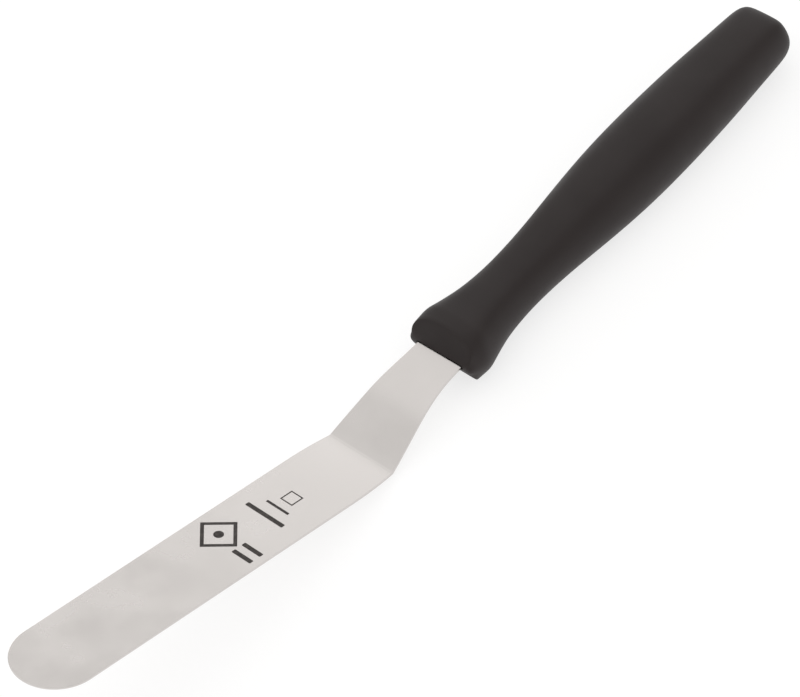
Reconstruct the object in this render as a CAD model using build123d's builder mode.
from build123d import *
import math
import os

os.makedirs("parts", exist_ok=True)

# Offset spatula: one stamped stainless strip (blade, raised neck and hidden tang)
# with a polypropylene handle moulded over its tang.
# It is drawn with the blade flat, +X from the tip towards the handle, and the
# blade's top face at Z = 0. At the end it is laid down the way it rests on a table.

# ---- Driving dimensions, in millimetres and degrees ----

# Strip
sheet = 0.5
tip_width = 19.05
heel_width = 19.35
shoulder_at = 82.0       # where the blade's edges begin to draw in
heel_at = 94.0           # the sharp crease between blade and neck
shoulder_width = 17.9    # the strip has narrowed to this at the crease
heel_rise = 35.2         # slope of the neck over the blade
heel_bend = 0.9          # inside radius of the crease
knee_at = 107.9          # where the neck's slope and the tang's slope cross
knee_width = 14.9        # just before the soft bend
knee_width_before = 4.0  # and this far before the slopes cross
knee_bend = 38.0         # radius of the soft second bend
neck_mouth_width = 12.4  # width of the strip where it enters the handle
mouth_taper = 0.1        # each edge still draws in this much just before and behind the mouth
mouth_taper_before = 4.0
mouth_taper_behind = 3.0
mouth_slant = -0.03      # and goes on into the handle at this slope

# Tang
tang_length = 60.0
tang_end_width = 9.0
key_hole = 4.0
key_holes_at = (16.0, 44.0)
notch = 3.0
notch_at = 30.0
notch_out = 5.6          # centre of each notch from the middle of the tang

# Handle
mouth_at = 117.3         # where the strip enters the handle
handle_rise = 17.6       # slope of the handle over the blade
axis_drop = 0.65         # the handle's axis lies this far below the middle of the sheet
handle_length = 108.5
section_pull = 0.58      # how full the rounded corners of a slice are
butt_round = 2.6
butt_round_turns = (0, 25, 45, 62, 77, 90)   # degrees round the butt's edge
prow_round = 1.1
prow_reach = 0.3         # how far the nose stands out past the mouth line
upper_face_lean = 37.8   # the nose's upper face leans back from square
lower_face_lean = 27.0
nose_block = 20.0        # size of the block that trims the nose

# Recess around the strip at the mouth
mouth_gap = 0.3
mouth_depth = 1.6

# Slices of the handle: distance from the mouth, width, height, width of the flat on top
slices = [
    (-1.0, 15.2, 12.2, 8.2),
    (1.0, 17.6, 12.45, 8.7),
    (3.2, 18.75, 12.5, 9.0),
    (6.2, 18.4, 12.3, 8.6),
    (10.0, 16.3, 11.7, 7.4),
    (14.0, 14.5, 11.1, 6.0),
    (19.0, 13.4, 10.65, 4.8),
    (25.0, 13.1, 10.6, 4.0),
    (34.0, 14.05, 11.2, 4.2),
    (45.0, 16.2, 12.65, 4.8),
    (57.0, 18.0, 13.9, 5.2),
    (70.0, 18.45, 14.05, 5.6),
    (84.0, 17.7, 13.4, 5.8),
    (96.0, 16.3, 12.25, 6.0),
]
butt_slice = (handle_length - butt_round, 14.8, 10.95, 6.2)

# Rest on a table: the handle's guard and palm touch at this tilt, and the blade stands clear
rest_tilt = 16.84

# ---- Places worked out from the dimensions ----

knee_height = (knee_at - heel_at) * math.tan(math.radians(heel_rise))
handle_x = math.cos(math.radians(handle_rise))
handle_z = math.sin(math.radians(handle_rise))
handle_slope = handle_z / handle_x
mouth_height = knee_height + (mouth_at - knee_at) * handle_slope
tang_end_at = mouth_at + tang_length * handle_x
tang_end_height = knee_height + (tang_end_at - knee_at) * handle_slope

# On the tang's top face: X along the handle, Y across it
tang_face = Plane(
    origin=(mouth_at, 0, mouth_height),
    x_dir=(handle_x, 0, handle_z),
    z_dir=(-handle_z, 0, handle_x),
)
axis_start = tang_face.offset(-sheet / 2 - axis_drop).origin
# Square across the handle: X across it, Y up through it
across = Plane(origin=axis_start, x_dir=(0, 1, 0), z_dir=(handle_x, 0, handle_z))
# Side view of the handle: X along it, Y up through it
along = Plane(origin=axis_start, x_dir=(handle_x, 0, handle_z), z_dir=(0, -1, 0))


# The butt's edge is a quarter circle: each slice steps back and inwards along it
for turn in butt_round_turns:
    step_back = butt_round * math.sin(math.radians(turn))
    shrink = 2 * butt_round * (1 - math.cos(math.radians(turn)))
    at, width, height, flat = butt_slice
    slices.append((at + step_back, width - shrink, height - shrink, flat * (1 - shrink / width)))


# ---- Blade, neck and tang: one stamped strip ----

with BuildPart() as strip:
    # side view: flat blade, crease at the heel, slope, soft knee, tang
    with BuildSketch(Plane.XZ):
        with BuildLine():
            FilletPolyline(
                (0, 0),
                (heel_at, 0),
                (knee_at, knee_height),
                (tang_end_at, tang_end_height),
                radius=[heel_bend, knee_bend],
            )
            offset(amount=sheet, side=Side.RIGHT)
        make_face()
    extrude(amount=heel_width, both=True)

    # plan view: round tip, nearly parallel edges, waisted neck, tapered tang
    tip_r = tip_width / 2
    with BuildSketch(Plane.XY.offset(-heel_width)):
        with BuildLine():
            ThreePointArc(
                (0, 0),
                (tip_r * (1 - math.sqrt(0.5)), tip_r * math.sqrt(0.5)),
                (tip_r, tip_r),
            )
            side_edge = Line((tip_r, tip_r), (shoulder_at, heel_width / 2))
            neck_edge = Spline(
                (shoulder_at, heel_width / 2),
                (heel_at, shoulder_width / 2),
                (knee_at - knee_width_before, knee_width / 2),
                (mouth_at - mouth_taper_before, neck_mouth_width / 2 + mouth_taper),
                (mouth_at + mouth_taper_behind, neck_mouth_width / 2 - mouth_taper),
                tangents=[side_edge % 1, (1, mouth_slant)],
            )
            tang_edge = Line(neck_edge @ 1, (tang_end_at - tang_end_width / 2, tang_end_width / 2))
            RadiusArc(tang_edge @ 1, (tang_end_at, 0), tang_end_width / 2)
            mirror(about=Plane.XZ)
        make_face()
    extrude(amount=heel_width + tang_end_height + sheet, mode=Mode.INTERSECT)

    # two keying holes and a pair of side notches lock the strip in the handle
    with BuildSketch(tang_face):
        with Locations(*[(at, 0) for at in key_holes_at]):
            Circle(key_hole / 2)
        with Locations((notch_at, notch_out), (notch_at, -notch_out)):
            Circle(notch / 2)
    extrude(amount=2 * sheet, both=True, mode=Mode.SUBTRACT)


# ---- Handle: moulded over the tang ----

with BuildPart() as grip:
    for at, width, height, flat in slices:
        half_w = width / 2
        half_h = height / 2
        edge_of_flat = flat / 2
        with BuildSketch(across.offset(at)):
            with BuildLine():
                Line((0, half_h), (edge_of_flat, half_h))
                Bezier(
                    (edge_of_flat, half_h),
                    (edge_of_flat + section_pull * (half_w - edge_of_flat), half_h),
                    (half_w, section_pull * half_h),
                    (half_w, 0),
                )
                mirror(about=Plane.XZ)
                mirror(about=Plane.YZ)
            make_face()
    loft()

    # wedge-shaped nose: the upper face leans back further than the lower one
    upper_back = nose_block * math.tan(math.radians(upper_face_lean))
    lower_back = nose_block * math.tan(math.radians(lower_face_lean))
    with BuildSketch(along):
        with BuildLine():
            Polyline(
                (-prow_reach, axis_drop),
                (upper_back - prow_reach, nose_block + axis_drop),
                (-nose_block, nose_block + axis_drop),
                (-nose_block, axis_drop - nose_block),
                (lower_back - prow_reach, axis_drop - nose_block),
                close=True,
            )
        make_face()
    extrude(amount=nose_block, both=True, mode=Mode.SUBTRACT)
    nose_faces = grip.faces().sort_by(Axis(across.origin, across.z_dir))[:2]
    prow = nose_faces[0].edges() & nose_faces[1].edges()
    fillet(prow, radius=prow_round)

    # shallow recess around the strip at the mouth
    with BuildSketch(across.offset(-nose_block)):
        with Locations((0, axis_drop)):
            RectangleRounded(
                neck_mouth_width + 2 * mouth_gap,
                sheet + 2 * mouth_gap,
                radius=mouth_gap,
            )
    extrude(amount=nose_block + mouth_depth, mode=Mode.SUBTRACT)

    # the cavity is the tang's own shape, so plastic fills its holes and notches
    add(strip.part, mode=Mode.SUBTRACT)


# ---- Laid on a table, origin under the middle ----

turned = Rotation(0, rest_tilt, 0)
drawn = Compound(children=[turned * strip.part, turned * grip.part]).bounding_box()
at_rest = Pos(-drawn.center().X, 0, -drawn.min.Z) * turned

with BuildPart() as blade:
    with Locations(at_rest):
        add(strip.part)
blade.part.label = "blade"
export_step(blade.part, "parts/blade.step")

with BuildPart() as handle:
    with Locations(at_rest):
        add(grip.part)
handle.part.label = "handle"
export_step(handle.part, "parts/handle.step")
